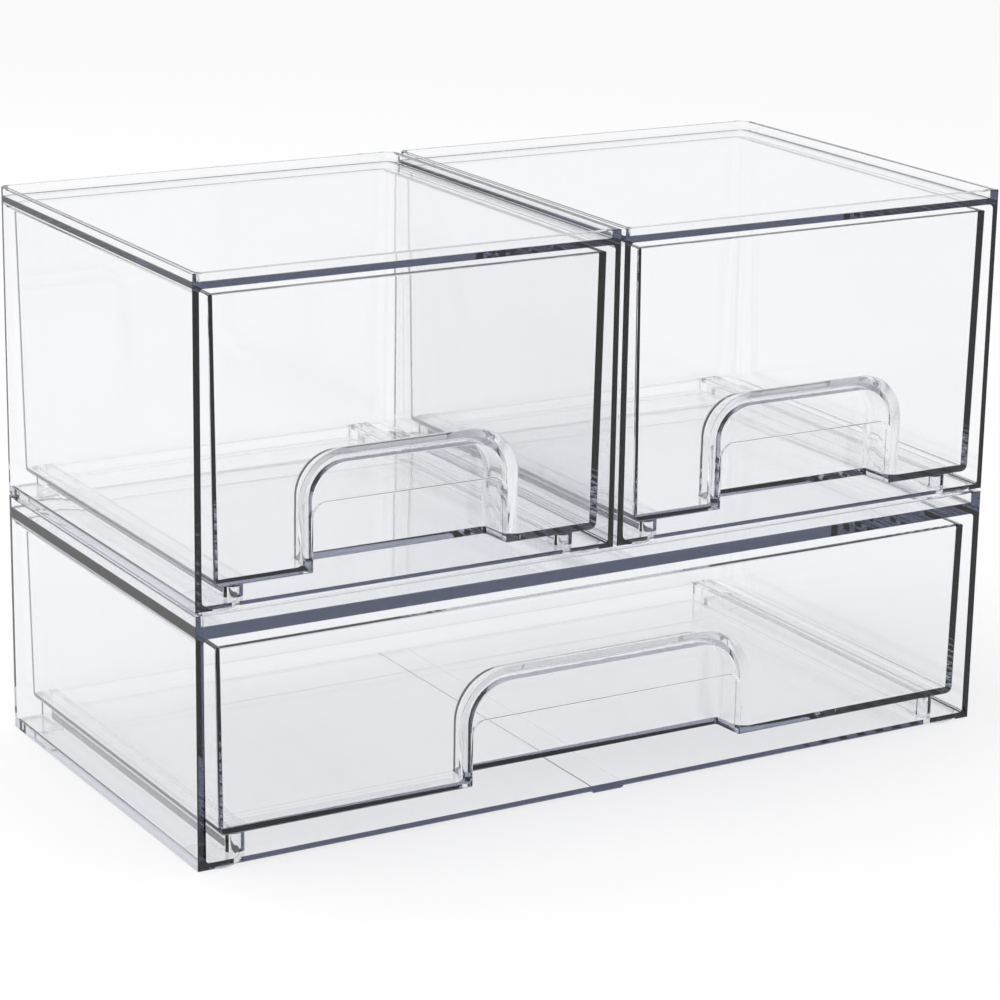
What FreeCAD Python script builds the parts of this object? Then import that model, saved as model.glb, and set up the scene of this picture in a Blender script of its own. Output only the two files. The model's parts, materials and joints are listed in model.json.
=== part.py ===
"""Clear stacking drawer set: two small drawer boxes standing side by side on one wide drawer box.

Every box is a moulded housing, open at the front, with a moulded drawer that slides in it.
The origin is the middle of the footprint on the table. +X is to the right, the fronts face -Y
and +Z is up. Sizes are in millimetres.
"""
import FreeCAD, Part
import math
import os

# Overall sizes
WIDE_WIDTH = 317.5            # outer width of the wide box, and of the pair above it
DEPTH = 160.0                 # outer depth of every housing
WIDE_HEIGHT = 88.9            # from the underside of its feet to the top of its rim
SMALL_HEIGHT = 112.0          # the same for a small box
PAIR_GAP = 1.5                # air between the two small boxes
STACK_CLEARANCE = 0.3         # air between the wide box's rim and the feet above it

# Housing walls, wide box then small box
WIDE_WALL = 2.8
WIDE_PLATE = 3.8              # top plate
WIDE_FLOOR = 2.4
WIDE_RIM = 4.4                # height of the rim above the top plate
SMALL_WALL = 2.3
SMALL_PLATE = 2.0
SMALL_FLOOR = 1.8
SMALL_RIM = 3.2
BACK_CORNER = 5.0             # outer radius of the upright back corners
CAVITY_CORNER = 1.5           # radius along the long inner corners of the housing
EDGE_ROUND = 0.4              # softening of the rim and of the front edges
WIDE_NOSE = 1.1               # rounding under the floor's front edge
SMALL_NOSE = 1.5
NOSE_INSET = 6.0              # that rounding stops this far from the outer walls

# Feet: round clear pads under the corners
FOOT_DIAMETER = 18.0
FOOT_HEIGHT = 1.0
FOOT_INSET = 10.0             # from the outer walls to the pad's centre
FOOT_CHAMFER = 0.3
CENTRE_RIB_WIDTH = 12.0       # the rib under the middle of the wide box's floor
CENTRE_RIB_CLEARANCE = 0.5    # between that rib and the table

# Drawers, and the air around them
WIDE_SIDE_GAP = 4.2           # at the drawer's top edge, each side
WIDE_TOP_GAP = 3.7
WIDE_UNDER_GAP = 8.3          # from the housing floor to the drawer's underside
SMALL_SIDE_GAP = 3.1
SMALL_TOP_GAP = 2.1
SMALL_UNDER_GAP = 5.4
BACK_GAP = 0.8                # behind the closed drawer, which the housing's back wall stops
FRONT_SETBACK = 0.3           # the drawer's front lies this far inside the housing's front
DRAWER_WALL = 2.2
DRAWER_FLOOR = 2.2
DRAWER_FRONT = 2.4            # thickness of the front panel
DRAWER_DRAFT = 0.8            # degrees that the sides and back lean out towards the top
DRAWER_BACK_CORNER = 4.0
DRAWER_FRONT_ROUND = 0.6      # all round the edge of the front panel
DRAWER_FOOT_ROUND = 2.5       # radius where the walls turn into the floor

# Runners on the housing floor
RAIL_WIDTH = 7.0
RAIL_INSET = 13.0             # from the outer side wall to the near side of the rail
RAIL_START = 4.0              # behind the housing's front
RAIL_NOSE = 3.0               # radius of the two front corners, seen from above
RAIL_SKIN = 1.8               # a rail is hollow beneath, and this thick all round
RAIL_CLEARANCE = 0.3          # between a rail and the drawer's underside

# Finger pull, moulded inwards from the drawer's front
WIDE_PULL_WIDTH = 110.0       # clear width at the front panel
WIDE_PULL_CORNER = 16.0       # radius of the hollow's two top corners
SMALL_PULL_WIDTH = 73.0
SMALL_PULL_CORNER = 13.0
PULL_HEIGHT = 36.0            # the hollow's ceiling, above the drawer's underside
PULL_DEPTH = 13.0             # from the panel's face to the back of the hollow
PULL_TAPER = 1.0              # how much each side closes in towards the back
PULL_WALL = 2.0
PULL_ROUND = 3.0              # outer radius along the pull's back edges
PULL_FLARE = 3.0              # the swelling where the pull joins the panel
FINGER_CUT_HEIGHT = 23.3      # top of the opening in the panel, above the underside
FINGER_CUT_CORNER = 5.0

OVERRUN = 1.0                 # how far a cutting tool runs past the face that it opens

SMALL_WIDTH = (WIDE_WIDTH - PAIR_GAP) / 2.0
FRONT_Y = -DEPTH / 2.0
BACK_Y = DEPTH / 2.0
PAIR_X = (SMALL_WIDTH + PAIR_GAP) / 2.0
UPPER_Z = WIDE_HEIGHT + STACK_CLEARANCE

# One row per box: its name and centre, its size, its walls, and the air round its drawer
BOXES = {
    "lower": dict(x=0.0, z=0.0, width=WIDE_WIDTH, height=WIDE_HEIGHT, wall=WIDE_WALL,
                  plate=WIDE_PLATE, floor=WIDE_FLOOR, rim=WIDE_RIM, nose=WIDE_NOSE,
                  side_gap=WIDE_SIDE_GAP, top_gap=WIDE_TOP_GAP, under_gap=WIDE_UNDER_GAP,
                  pull=WIDE_PULL_WIDTH, pull_corner=WIDE_PULL_CORNER,
                  centre_rib=CENTRE_RIB_WIDTH),
    "left": dict(x=-PAIR_X, z=UPPER_Z, width=SMALL_WIDTH, height=SMALL_HEIGHT, wall=SMALL_WALL,
                 plate=SMALL_PLATE, floor=SMALL_FLOOR, rim=SMALL_RIM, nose=SMALL_NOSE,
                 side_gap=SMALL_SIDE_GAP, top_gap=SMALL_TOP_GAP, under_gap=SMALL_UNDER_GAP,
                 pull=SMALL_PULL_WIDTH, pull_corner=SMALL_PULL_CORNER, centre_rib=0.0),
}
BOXES["right"] = dict(BOXES["left"], x=PAIR_X)


def vector(x, y, z):
    return FreeCAD.Vector(x, y, z)


def block(x0, x1, y0, y1, z0, z1):
    """A box between two opposite corners."""
    return Part.makeBox(x1 - x0, y1 - y0, z1 - z0, vector(x0, y0, z0))


def rounded_outline(points, radii):
    """A closed flat wire through the points, each with its own radius (none where it is zero)."""
    count = len(points)
    starts, middles, ends = [], [], []
    for i in range(count):
        corner, radius = points[i], radii[i]
        back = (points[i - 1] - corner).normalize()
        ahead = (points[(i + 1) % count] - corner).normalize()
        half_angle = back.getAngle(ahead) / 2.0
        reach = radius / math.tan(half_angle)
        inwards = (back + ahead).normalize()
        centre = corner + inwards * (radius / math.sin(half_angle))
        starts.append(corner + back * reach)
        middles.append(centre - inwards * radius)
        ends.append(corner + ahead * reach)
    edges = []
    for i in range(count):
        if radii[i] > 0:
            edges.append(Part.Arc(starts[i], middles[i], ends[i]).toShape())
        edges.append(Part.LineSegment(ends[i], starts[(i + 1) % count]).toShape())
    return Part.Wire(edges)


def plan_outline(x0, x1, y0, y1, z, front_radius, back_radius):
    """A level rectangle whose front corners and back corners have a radius of their own."""
    points = [vector(x0, y0, z), vector(x1, y0, z), vector(x1, y1, z), vector(x0, y1, z)]
    return rounded_outline(points, [front_radius, front_radius, back_radius, back_radius])


def upright_outline(x0, x1, z0, z1, y, low_radius, high_radius):
    """An upright rectangle facing the front, with its low and high corners rounded."""
    points = [vector(x0, y, z0), vector(x1, y, z0), vector(x1, y, z1), vector(x0, y, z1)]
    return rounded_outline(points, [low_radius, low_radius, high_radius, high_radius])


def prism(outline, direction):
    return Part.Face(outline).extrude(direction)


def housing_levels(box):
    """The heights that the housing and the drawer share."""
    underside = box["z"] + FOOT_HEIGHT
    floor_top = underside + box["floor"]
    rim_top = box["z"] + box["height"]
    plate_top = rim_top - box["rim"]
    return underside, floor_top, plate_top - box["plate"], plate_top, rim_top


def drawer_levels(box):
    underside, floor_top, ceiling, plate_top, rim_top = housing_levels(box)
    return floor_top + box["under_gap"], ceiling - box["top_gap"]


def drawer_back(box):
    return BACK_Y - box["wall"] - BACK_GAP


def rail_form(box, centre_x, bottom, shrink):
    """A runner's upright outline from its nose to the back wall, drawn in by the shrink."""
    underside, floor_top, ceiling, plate_top, rim_top = housing_levels(box)
    half = RAIL_WIDTH / 2.0 - shrink
    top = floor_top + box["under_gap"] - RAIL_CLEARANCE - shrink
    outline = plan_outline(centre_x - half, centre_x + half, FRONT_Y + RAIL_START + shrink,
                           BACK_Y - box["wall"], bottom, RAIL_NOSE - shrink, 0.0)
    return prism(outline, vector(0, 0, top - bottom))


def rail_centres(box):
    reach = box["width"] / 2.0 - RAIL_INSET - RAIL_WIDTH / 2.0
    return box["x"] - reach, box["x"] + reach


def make_centre_rib(box):
    """The rib that keeps a wide floor from sagging: it runs from front to back beneath it."""
    underside, floor_top, ceiling, plate_top, rim_top = housing_levels(box)
    half = box["centre_rib"] / 2.0
    return block(box["x"] - half, box["x"] + half, FRONT_Y + EDGE_ROUND, BACK_Y - EDGE_ROUND,
                 box["z"] + CENTRE_RIB_CLEARANCE, floor_top)


def nose_cutter(box, left, right):
    """The tool that rounds the underside of the floor's front edge between two places."""
    low = housing_levels(box)[0]
    radius = box["nose"]
    waste = block(left, right, FRONT_Y - OVERRUN, FRONT_Y + radius, low - OVERRUN, low + radius)
    kept = Part.makeCylinder(radius, right - left,
                             vector(left, FRONT_Y + radius, low + radius), vector(1, 0, 0))
    return waste.cut(kept)


def make_housing(box):
    """The moulded case: open at the front, with a raised rim round its top plate."""
    underside, floor_top, ceiling, plate_top, rim_top = housing_levels(box)
    left, right = box["x"] - box["width"] / 2.0, box["x"] + box["width"] / 2.0
    wall = box["wall"]
    case = prism(plan_outline(left, right, FRONT_Y, BACK_Y, underside, EDGE_ROUND, BACK_CORNER),
                 vector(0, 0, rim_top - underside))

    mouth = prism(upright_outline(left + wall, right - wall, floor_top, ceiling,
                                  FRONT_Y - OVERRUN, CAVITY_CORNER, CAVITY_CORNER),
                  vector(0, DEPTH - wall + OVERRUN, 0))
    inner_corner = BACK_CORNER - wall
    room = prism(plan_outline(left + wall, right - wall, FRONT_Y - OVERRUN, BACK_Y - wall,
                              floor_top, EDGE_ROUND, inner_corner),
                 vector(0, 0, ceiling - floor_top))
    case = case.cut(mouth.common(room))

    tray = prism(plan_outline(left + wall, right - wall, FRONT_Y + wall, BACK_Y - wall,
                              plate_top, inner_corner / 2.0, inner_corner),
                 vector(0, 0, box["rim"] + OVERRUN))
    case = case.cut(tray)
    for centre_x in rail_centres(box):
        case = case.fuse(rail_form(box, centre_x, floor_top, 0.0))
        case = case.cut(rail_form(box, centre_x, underside - OVERRUN, RAIL_SKIN))
    rib_half = box["centre_rib"] / 2.0
    case = case.cut(nose_cutter(box, left + NOSE_INSET, box["x"] - rib_half))
    case = case.cut(nose_cutter(box, box["x"] + rib_half, right - NOSE_INSET))
    if box["centre_rib"]:
        case = case.fuse(make_centre_rib(box))
    return case.removeSplitter()


def make_foot(centre_x, centre_y, bottom):
    """A round pad with its lower edge chamfered."""
    radius = FOOT_DIAMETER / 2.0
    chamfer = Part.makeCone(radius - FOOT_CHAMFER, radius, FOOT_CHAMFER,
                            vector(centre_x, centre_y, bottom))
    body = Part.makeCylinder(radius, FOOT_HEIGHT - FOOT_CHAMFER,
                             vector(centre_x, centre_y, bottom + FOOT_CHAMFER))
    return chamfer.fuse(body).removeSplitter()


def feet_of(box):
    """Yield the four corner names with their pads."""
    reach_x = box["width"] / 2.0 - FOOT_INSET
    reach_y = DEPTH / 2.0 - FOOT_INSET
    for depth_name, side_y in (("front", -1), ("back", 1)):
        for side_name, side_x in (("left", -1), ("right", 1)):
            pad = make_foot(box["x"] + side_x * reach_x, side_y * reach_y, box["z"])
            yield depth_name + "_" + side_name, pad


def drawer_solid(box, inset, bottom, top, front_inset):
    """A solid with the drawer's leaning sides and back, drawn in by the inset all round."""
    drawer_bottom, drawer_top = drawer_levels(box)
    half_top = box["width"] / 2.0 - box["wall"] - box["side_gap"]
    slope = math.tan(math.radians(DRAWER_DRAFT))
    outlines = []
    for z in (bottom, top):
        lean = (drawer_top - z) * slope
        half = half_top - lean - inset
        back = drawer_back(box) - lean - inset
        outlines.append(plan_outline(box["x"] - half, box["x"] + half,
                                     FRONT_Y + FRONT_SETBACK + front_inset, back, z,
                                     0.0, DRAWER_BACK_CORNER - inset))
    return Part.makeLoft(outlines, True, True)


def pull_outline(box, grow, y, low_z):
    """The pull's arched outline at one depth, grown all round from that of its hollow."""
    drawer_bottom, drawer_top = drawer_levels(box)
    share = (y - FRONT_Y - FRONT_SETBACK) / PULL_DEPTH
    half = box["pull"] / 2.0 - PULL_TAPER * share + grow
    return upright_outline(box["x"] - half, box["x"] + half, low_z,
                           drawer_bottom + PULL_HEIGHT + grow, y,
                           0.0, box["pull_corner"] + grow)


def pull_solid(box, grow_front, grow_back, y_front, y_back, low_z):
    """The solid between two of those outlines."""
    outlines = [pull_outline(box, grow_front, y_front, low_z),
                pull_outline(box, grow_back, y_back, low_z)]
    return Part.makeLoft(outlines, True, True)


def round_back(solid, y_back, low_z, radius):
    """Round the edges of the solid's back face, apart from the one at the bottom."""
    edges = [edge for edge in solid.Edges
             if y_back - edge.BoundBox.YMin < EDGE_ROUND and edge.BoundBox.ZMax - low_z > radius]
    return solid.makeFillet(radius, edges)


def add_pull(box, drawer):
    """Mould the arched finger pull into the drawer's front."""
    drawer_bottom, drawer_top = drawer_levels(box)
    face_y = FRONT_Y + FRONT_SETBACK
    panel_back = face_y + DRAWER_FRONT
    hollow_back = face_y + PULL_DEPTH
    shell = pull_solid(box, PULL_WALL, PULL_WALL, face_y + PULL_WALL / 2.0,
                       hollow_back + PULL_WALL, drawer_bottom)
    shell = round_back(shell, hollow_back + PULL_WALL, drawer_bottom, PULL_ROUND)
    flare = pull_solid(box, PULL_WALL + PULL_FLARE, PULL_WALL, panel_back,
                       panel_back + PULL_FLARE, drawer_bottom)
    drawer = drawer.fuse(shell).fuse(flare)

    hollow = pull_solid(box, 0.0, 0.0, panel_back, hollow_back, drawer_bottom - OVERRUN)
    hollow = round_back(hollow, hollow_back, drawer_bottom - OVERRUN, PULL_ROUND - PULL_WALL)
    half_cut = box["pull"] / 2.0
    cut = prism(upright_outline(box["x"] - half_cut, box["x"] + half_cut,
                                drawer_bottom - OVERRUN, drawer_bottom + FINGER_CUT_HEIGHT,
                                face_y - OVERRUN, 0.0, FINGER_CUT_CORNER),
                vector(0, OVERRUN + DRAWER_FRONT + EDGE_ROUND, 0))
    return drawer.cut(hollow).cut(cut)


def make_drawer(box):
    """The moulded drawer: an open-topped box whose front carries the pull."""
    drawer_bottom, drawer_top = drawer_levels(box)
    face_y = FRONT_Y + FRONT_SETBACK
    shell = drawer_solid(box, 0.0, drawer_bottom, drawer_top, 0.0)
    low_edges = [edge for edge in shell.Edges
                 if edge.BoundBox.ZMax - drawer_bottom < EDGE_ROUND
                 and edge.BoundBox.YMax - face_y > EDGE_ROUND]
    shell = shell.makeFillet(DRAWER_FOOT_ROUND, low_edges)
    front_edges = [edge for edge in shell.Edges if edge.BoundBox.YMax - face_y < EDGE_ROUND]
    shell = shell.makeFillet(DRAWER_FRONT_ROUND, front_edges)

    room = drawer_solid(box, DRAWER_WALL, drawer_bottom + DRAWER_FLOOR, drawer_top + OVERRUN,
                        DRAWER_FRONT)
    return add_pull(box, shell.cut(room)).removeSplitter()


def export(name, shape):
    if not shape.isValid() or shape.Volume <= 0:
        raise ValueError(name + " is not a sound solid")
    shape.exportStep(os.path.join("parts", name + ".step"))
    bounds = shape.BoundBox
    print("%-26s %d solid  %8.1f mm3  x %.1f..%.1f  y %.1f..%.1f  z %.1f..%.1f" % (
        name, len(shape.Solids), shape.Volume, bounds.XMin, bounds.XMax,
        bounds.YMin, bounds.YMax, bounds.ZMin, bounds.ZMax))


os.makedirs("parts", exist_ok=True)
for box_name, box_sizes in BOXES.items():
    export(box_name + "_housing", make_housing(box_sizes))
    export(box_name + "_drawer", make_drawer(box_sizes))
    for corner_name, foot in feet_of(box_sizes):
        export(box_name + "_" + corner_name + "_foot", foot)
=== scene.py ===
import json
import math

import bmesh
import bpy
from mathutils import Matrix, Vector


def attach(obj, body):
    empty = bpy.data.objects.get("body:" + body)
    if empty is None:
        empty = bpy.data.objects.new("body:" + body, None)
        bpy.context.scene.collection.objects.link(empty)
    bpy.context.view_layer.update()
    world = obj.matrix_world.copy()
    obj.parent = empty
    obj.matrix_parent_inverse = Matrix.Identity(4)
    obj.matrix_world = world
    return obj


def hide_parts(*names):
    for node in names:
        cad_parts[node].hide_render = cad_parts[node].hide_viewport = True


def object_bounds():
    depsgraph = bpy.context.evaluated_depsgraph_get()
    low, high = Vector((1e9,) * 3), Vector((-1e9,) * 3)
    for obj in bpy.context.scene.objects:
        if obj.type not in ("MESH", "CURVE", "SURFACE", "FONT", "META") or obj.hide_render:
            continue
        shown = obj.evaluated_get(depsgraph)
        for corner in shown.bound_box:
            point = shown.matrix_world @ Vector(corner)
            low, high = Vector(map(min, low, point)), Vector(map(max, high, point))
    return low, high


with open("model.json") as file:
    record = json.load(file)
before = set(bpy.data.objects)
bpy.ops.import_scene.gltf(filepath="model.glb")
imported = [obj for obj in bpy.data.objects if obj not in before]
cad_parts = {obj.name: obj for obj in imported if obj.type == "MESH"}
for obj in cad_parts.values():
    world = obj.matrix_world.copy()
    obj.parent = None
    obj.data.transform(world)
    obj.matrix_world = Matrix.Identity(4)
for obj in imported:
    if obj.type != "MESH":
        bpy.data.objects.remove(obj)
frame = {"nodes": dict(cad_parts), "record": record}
cad_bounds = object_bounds()
scene = bpy.context.scene
scene.view_settings.view_transform = "Standard"


# ---- Viewpoint ----------------------------------------------------------------------------
# The set is seen from the front left and a little above, through a long lens. The camera
# stands about 1.1 m from the middle of the fronts, and is rolled by one degree.
MM = 0.001
CAMERA_AT = Vector((-587.8, -994.5, 424.8)) * MM
CAMERA_TURN = math.radians(30.63)
CAMERA_TILT = math.radians(-16.35)
CAMERA_ROLL = math.radians(0.98)
SENSOR_WIDTH = 36.0           # millimetres, as Blender counts them
LENS_PER_FRAME_WIDTH = 3.31

camera_data = bpy.data.cameras.new("camera")
camera_data.sensor_width = SENSOR_WIDTH
camera_data.lens = SENSOR_WIDTH * LENS_PER_FRAME_WIDTH
camera = bpy.data.objects.new("camera", camera_data)
scene.collection.objects.link(camera)
forwards = Vector((math.sin(CAMERA_TURN) * math.cos(CAMERA_TILT),
                   math.cos(CAMERA_TURN) * math.cos(CAMERA_TILT),
                   math.sin(CAMERA_TILT)))
level = Vector((math.cos(CAMERA_TURN), -math.sin(CAMERA_TURN), 0.0))
upright = level.cross(forwards)
right = level * math.cos(CAMERA_ROLL) + upright * math.sin(CAMERA_ROLL)
up = upright * math.cos(CAMERA_ROLL) - level * math.sin(CAMERA_ROLL)
turned = Matrix((right, up, -forwards)).transposed().to_4x4()
camera.matrix_world = Matrix.Translation(CAMERA_AT) @ turned
scene.camera = camera


# ---- Table, background and light ----------------------------------------------------------
# A matt white laminate table in a white studio, lit by two soft boxes. What shows behind the
# set is plain white. The plastic also sees a darker band high on the studio's walls, which
# helps to draw its edges, and a white ceiling above that.
def linear(hex_colour):
    """The linear colour of an sRGB hex value, with full alpha."""
    channels = [int(hex_colour[i:i + 2], 16) / 255 for i in (1, 3, 5)]
    return [c / 12.92 if c <= 0.04045 else ((c + 0.055) / 1.055) ** 2.4 for c in channels] + [1.0]


def add_node(tree, kind, settings=None, links=None):
    """Add a node, set its sockets or properties, and link its inputs from other sockets."""
    node = tree.nodes.new(kind)
    for key, value in (settings or {}).items():
        if isinstance(key, int) or key in node.inputs:
            node.inputs[key].default_value = value
        else:
            setattr(node, key, value)
    for key, socket in (links or {}).items():
        tree.links.new(socket, node.inputs[key])
    return node


def new_material(name):
    """An empty material and its node tree."""
    material = bpy.data.materials.new(name)
    material.use_nodes = True
    material.node_tree.nodes.clear()
    return material, material.node_tree


WHITE = linear("#ffffff")
TABLE_WHITE = "#f4f4f5"
TABLE_GLOW = 0.62             # share of the table's white that no shadow can darken
TABLE_RADIUS = 4.0            # metres
TABLE_SIDES = 96
TABLE_DROP = 0.1 * MM         # so that the table and the feet never share a surface

table_material, tree = new_material("matt_white_laminate")
paint = add_node(tree, "ShaderNodeBsdfDiffuse", {"Color": linear(TABLE_WHITE)})
glow = add_node(tree, "ShaderNodeEmission", {"Color": WHITE, "Strength": 1.0})
path = add_node(tree, "ShaderNodeLightPath")
# The glow is seen straight, in mirrored rays and through the plastic, but lights nothing
seen = add_node(tree, "ShaderNodeMath", {"operation": "MAXIMUM"},
                {0: path.outputs["Is Camera Ray"], 1: path.outputs["Is Glossy Ray"]})
seen = add_node(tree, "ShaderNodeMath", {"operation": "MAXIMUM"},
                {0: seen.outputs[0], 1: path.outputs["Is Transmission Ray"]})
share = add_node(tree, "ShaderNodeMath", {"operation": "MULTIPLY", 1: TABLE_GLOW},
                 {0: seen.outputs[0]})
mixed = add_node(tree, "ShaderNodeMixShader", None,
                 {0: share.outputs[0], 1: paint.outputs[0], 2: glow.outputs[0]})
add_node(tree, "ShaderNodeOutputMaterial", None, {"Surface": mixed.outputs[0]})

form = bmesh.new()
bmesh.ops.create_circle(form, cap_ends=True, radius=TABLE_RADIUS, segments=TABLE_SIDES,
                        matrix=Matrix.Translation((0, 0, -TABLE_DROP)))
table_mesh = bpy.data.meshes.new("table")
form.to_mesh(table_mesh)
form.free()
table_mesh.materials.append(table_material)
table = bpy.data.objects.new("table", table_mesh)
scene.collection.objects.link(table)

ROOM_LIGHT = 0.9              # how brightly the room lights matt surfaces
ROOM_DARK = "#3c3e46"         # the band high on the walls, as the plastic sees it
DARK_FROM = 0.50              # sine of the elevation where the white wall starts to darken
DARK_BY = 0.75                # and where it is fully dark
CEILING_FROM = 0.88           # where it starts to turn into the white ceiling
CEILING_BY = 0.95
MIX_COLOUR_A, MIX_COLOUR_B, MIX_COLOUR_OUT = 6, 7, 2    # colour sockets of a Mix node

world = bpy.data.worlds.new("studio")
world.use_nodes = True
tree = world.node_tree
tree.nodes.clear()
path = add_node(tree, "ShaderNodeLightPath")
direction = add_node(tree, "ShaderNodeTexCoord")
parts = add_node(tree, "ShaderNodeSeparateXYZ", None, {0: direction.outputs["Generated"]})
above_wall = add_node(tree, "ShaderNodeMapRange",
                      {"From Min": DARK_FROM, "From Max": DARK_BY},
                      {"Value": parts.outputs["Z"]})
below_ceiling = add_node(tree, "ShaderNodeMapRange",
                         {"From Min": CEILING_FROM, "From Max": CEILING_BY,
                          "To Min": 1.0, "To Max": 0.0},
                         {"Value": parts.outputs["Z"]})
darkness = add_node(tree, "ShaderNodeMath", {"operation": "MULTIPLY"},
                    {0: above_wall.outputs[0], 1: below_ceiling.outputs[0]})
wall = add_node(tree, "ShaderNodeMix",
                {"data_type": "RGBA", MIX_COLOUR_A: WHITE, MIX_COLOUR_B: linear(ROOM_DARK)},
                {0: darkness.outputs[0]})
# The camera sees plain white, matt surfaces are lit evenly, and the plastic sees the room
room = add_node(tree, "ShaderNodeBackground", {"Strength": 1.0},
                {"Color": wall.outputs[MIX_COLOUR_OUT]})
white = add_node(tree, "ShaderNodeBackground", {"Color": WHITE, "Strength": 1.0})
soft = add_node(tree, "ShaderNodeBackground", {"Color": WHITE, "Strength": ROOM_LIGHT})
matt = add_node(tree, "ShaderNodeMixShader", None,
                {0: path.outputs["Is Diffuse Ray"], 1: room.outputs[0], 2: soft.outputs[0]})
all_rays = add_node(tree, "ShaderNodeMixShader", None,
                    {0: path.outputs["Is Camera Ray"], 1: matt.outputs[0],
                     2: white.outputs[0]})
add_node(tree, "ShaderNodeOutputWorld", None, {"Surface": all_rays.outputs[0]})
scene.world = world

# Where each soft box hangs and how long its sides are, in metres, and its power
OVERHEAD_AT, OVERHEAD_SIDE, OVERHEAD_WATTS = (-0.5, 0.4, 1.6), 0.9, 9.0
LEFT_AT, LEFT_SIDE, LEFT_WATTS = (-1.6, -0.6, 0.9), 0.7, 5.0


def add_lamp(name, position, aim, side, watts):
    """A square soft box turned towards a point."""
    data = bpy.data.lights.new(name, "AREA")
    data.size = side
    data.energy = watts
    lamp = bpy.data.objects.new(name, data)
    lamp.location = position
    lamp.rotation_euler = (Vector(aim) - Vector(position)).to_track_quat("-Z", "Y").to_euler()
    # A soft box that the plates mirror would look like a white sheet lying in a drawer
    lamp.visible_glossy = False
    lamp.visible_transmission = False
    scene.collection.objects.link(lamp)


low, high = cad_bounds
middle = (low + high) / 2
add_lamp("overhead_softbox", OVERHEAD_AT, middle, OVERHEAD_SIDE, OVERHEAD_WATTS)
add_lamp("left_softbox", LEFT_AT, middle, LEFT_SIDE, LEFT_WATTS)


# ---- Housings -----------------------------------------------------------------------------
# Three boxes, open at the front, one wide and two small. Each is one injection moulding in
# clear acrylic (PMMA): walls, rimmed top plate, floor and the runners that a drawer slides on.
# The small ones stand loose on the wide one.
ACRYLIC_IOR = 1.49
ACRYLIC_EDGE = "#4a5066"      # what white light becomes along a plate of this length
HOUSING_EDGE_PATH = 0.18      # metres
POLISHED = 0.0                # the mould's faces are polished, and leave no grain to see
WALL_SHADE = "#f4f4f5"        # how much of the lamps' light one face of a wall lets through
MOULD_WAVE = 45 * MM          # spacing of the faint waves that cooling leaves in a flat face
MOULD_WAVE_HEIGHT = 0.004 * MM
MOULD_WAVE_DETAIL = 1.0


def absorption_of(hex_colour, path_length):
    """The absorption colour and density that leave this colour after the path."""
    per_metre = [-math.log(c) / path_length for c in linear(hex_colour)[:3]]
    strongest = max(per_metre)
    # Blender's absorption density counts (1 - colour), so the strongest channel has colour 0
    return [1 - a / strongest for a in per_metre] + [1.0], strongest


def make_clear_plastic(name, edge_path, roughness):
    """Clear plastic. A wall is nearly colourless to look through, but light that runs along
    inside a plate comes out blue-grey and dark."""
    material, tree = new_material(name)
    place = add_node(tree, "ShaderNodeTexCoord")
    waves = add_node(tree, "ShaderNodeTexNoise",
                     {"Scale": 1 / MOULD_WAVE, "Detail": MOULD_WAVE_DETAIL},
                     {"Vector": place.outputs["Object"]})
    bump = add_node(tree, "ShaderNodeBump", {"Strength": 1.0, "Distance": MOULD_WAVE_HEIGHT},
                    {"Height": waves.outputs["Fac"]})
    clear = add_node(tree, "ShaderNodeBsdfPrincipled",
                     {"Base Color": WHITE, "Roughness": roughness, "IOR": ACRYLIC_IOR,
                      "Transmission Weight": 1.0}, {"Normal": bump.outputs[0]})
    open_to_lamps = add_node(tree, "ShaderNodeBsdfTransparent", {"Color": linear(WALL_SHADE)})
    path = add_node(tree, "ShaderNodeLightPath")
    passing = add_node(tree, "ShaderNodeMath", {"operation": "MAXIMUM"},
                       {0: path.outputs["Is Shadow Ray"], 1: path.outputs["Is Diffuse Ray"]})
    surface = add_node(tree, "ShaderNodeMixShader", None,
                       {0: passing.outputs[0], 1: clear.outputs[0],
                        2: open_to_lamps.outputs[0]})
    colour, density = absorption_of(ACRYLIC_EDGE, edge_path)
    inside = add_node(tree, "ShaderNodeVolumeAbsorption",
                      {"Color": colour, "Density": density})
    add_node(tree, "ShaderNodeOutputMaterial", None,
             {"Surface": surface.outputs[0], "Volume": inside.outputs[0]})
    return material


WELD = 0.002 * MM             # corners closer than this are one
FLAT_WITHIN = math.radians(0.2)
SHARP_FROM = math.radians(43)
EDGE_BREAK = 0.25 * MM        # the small radius that a mould leaves on a sharp edge
EDGE_SEGMENTS = 2
FLOOR_ZONE = 4.0 * MM         # the lowest part of a housing has small faces, and so its edges
NEAR_SHARP_SHARE = 0.1        # stay nearly sharp: this share of the usual radius

body_of_node = {node: body for body, nodes in frame["record"]["behaviour"]["bodies"].items()
                for node in nodes}


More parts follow.
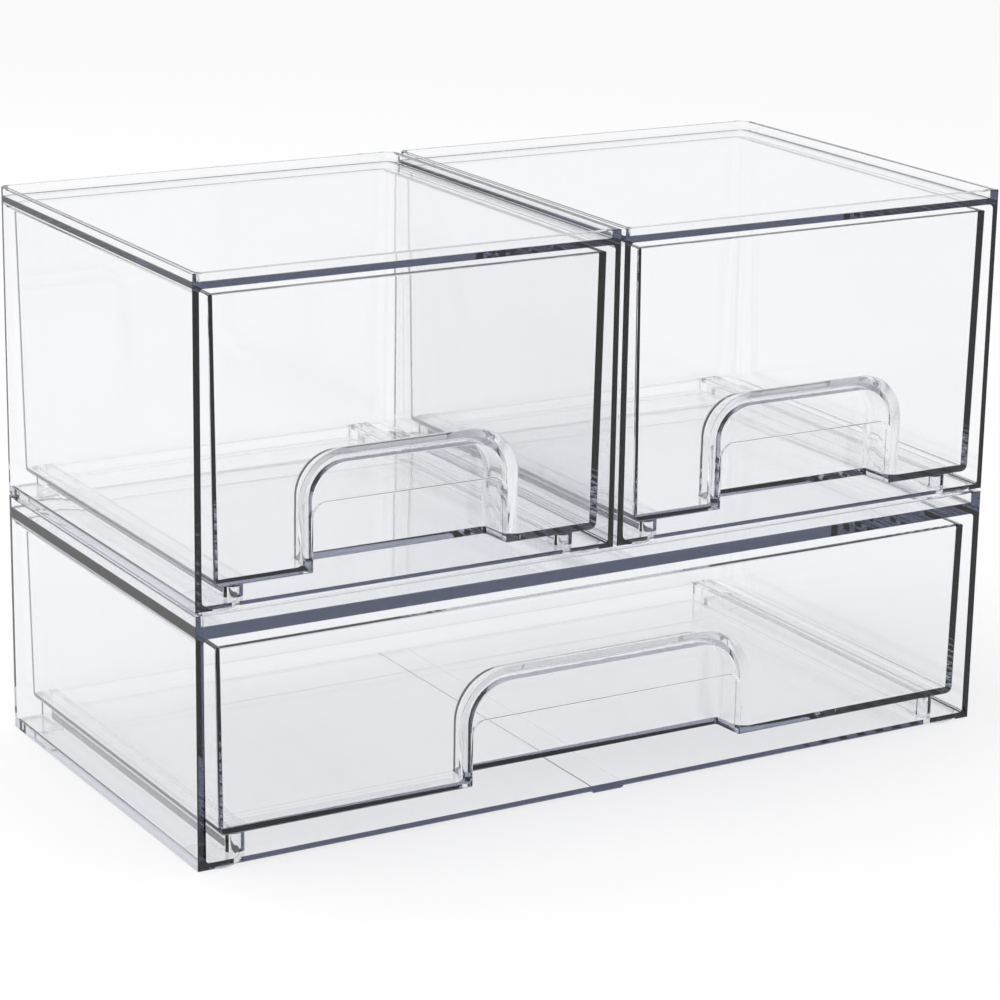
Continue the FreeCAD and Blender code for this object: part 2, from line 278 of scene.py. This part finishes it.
def finish_moulding(node, material, break_width, near_sharp=0.0, top_film=0.0):
    """A welded copy of the moulded piece with its sharp edges broken and its curves smooth."""
    source = frame["nodes"][node]
    form = bmesh.new()
    form.from_mesh(source.data)
    bmesh.ops.remove_doubles(form, verts=form.verts, dist=WELD)
    bmesh.ops.dissolve_limit(form, angle_limit=FLAT_WITHIN, verts=form.verts,
                             edges=form.edges)
    top = max(vert.co.z for vert in form.verts)
    for vert in form.verts:
        if top - vert.co.z < WELD:
            vert.co.z -= top_film
    near_sharp_up_to = min(vert.co.z for vert in form.verts) + near_sharp
    broken = form.edges.layers.float.new("bevel_weight_edge")
    for edge in form.edges:
        if edge.calc_face_angle(0.0) > SHARP_FROM:
            low_down = max(vert.co.z for vert in edge.verts) < near_sharp_up_to
            edge[broken] = NEAR_SHARP_SHARE if low_down else 1.0
    mesh = bpy.data.meshes.new(node + "_moulding")
    form.to_mesh(mesh)
    form.free()
    mesh.materials.append(material)
    piece = bpy.data.objects.new(node + "_moulding", mesh)
    scene.collection.objects.link(piece)
    for face in mesh.polygons:
        face.use_smooth = True
    mesh.set_sharp_from_angle(angle=SHARP_FROM)
    bevel = piece.modifiers.new("edge_break", "BEVEL")
    bevel.width = break_width
    bevel.segments = EDGE_SEGMENTS
    bevel.limit_method = "WEIGHT"
    bevel.use_clamp_overlap = False
    bevel.miter_outer = "MITER_ARC"
    # Flat faces keep their own direction, and only the rounded ones are shaded smoothly
    shading = piece.modifiers.new("flat_faces", "WEIGHTED_NORMAL")
    shading.keep_sharp = True
    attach(piece, body_of_node[node])
    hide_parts(node)


housing_acrylic = make_clear_plastic("clear_acrylic_housing", HOUSING_EDGE_PATH, POLISHED)
for box in ("lower", "left", "right"):
    finish_moulding(box + "_housing", housing_acrylic, EDGE_BREAK,
                    FLOOR_ZONE)


# ---- Drawers ------------------------------------------------------------------------------
# One open-topped drawer for each housing, moulded in the same clear acrylic with its front
# panel and finger pull in one piece. It slides loose on the housing's two runners.
DRAWER_EDGE_PATH = 0.34       # metres, so a drawer's edges are paler than its housing's

drawer_acrylic = make_clear_plastic("clear_acrylic_drawer", DRAWER_EDGE_PATH, POLISHED)
for box in ("lower", "left", "right"):
    finish_moulding(box + "_drawer", drawer_acrylic, EDGE_BREAK)


# ---- Feet ---------------------------------------------------------------------------------
# Four round bumper pads under the corners of each housing, moulded in clear silicone with a
# faintly dull skin. Each is stuck on with a film of glue.
PAD_EDGE_PATH = 0.42          # metres
PAD_ROUGHNESS = 0.04
PAD_BREAK = 0.15 * MM
GLUE_FILM = 0.05 * MM

pad_silicone = make_clear_plastic("clear_silicone_pad", PAD_EDGE_PATH, PAD_ROUGHNESS)
for node in body_of_node:
    if node.endswith("_foot"):
        finish_moulding(node, pad_silicone, PAD_BREAK, top_film=GLUE_FILM)


# ---- Light paths --------------------------------------------------------------------------
# A ray passes many clear walls before it leaves the set. One that is mirrored to and fro
# inside a plate is given up after a while, and leaves the dark lines of the plastic's edges.
WALLS_PASSED = 26
REFLECTIONS = 18
scene.cycles.max_bounces = WALLS_PASSED
scene.cycles.transmission_bounces = WALLS_PASSED
scene.cycles.glossy_bounces = REFLECTIONS
scene.cycles.transparent_max_bounces = WALLS_PASSED
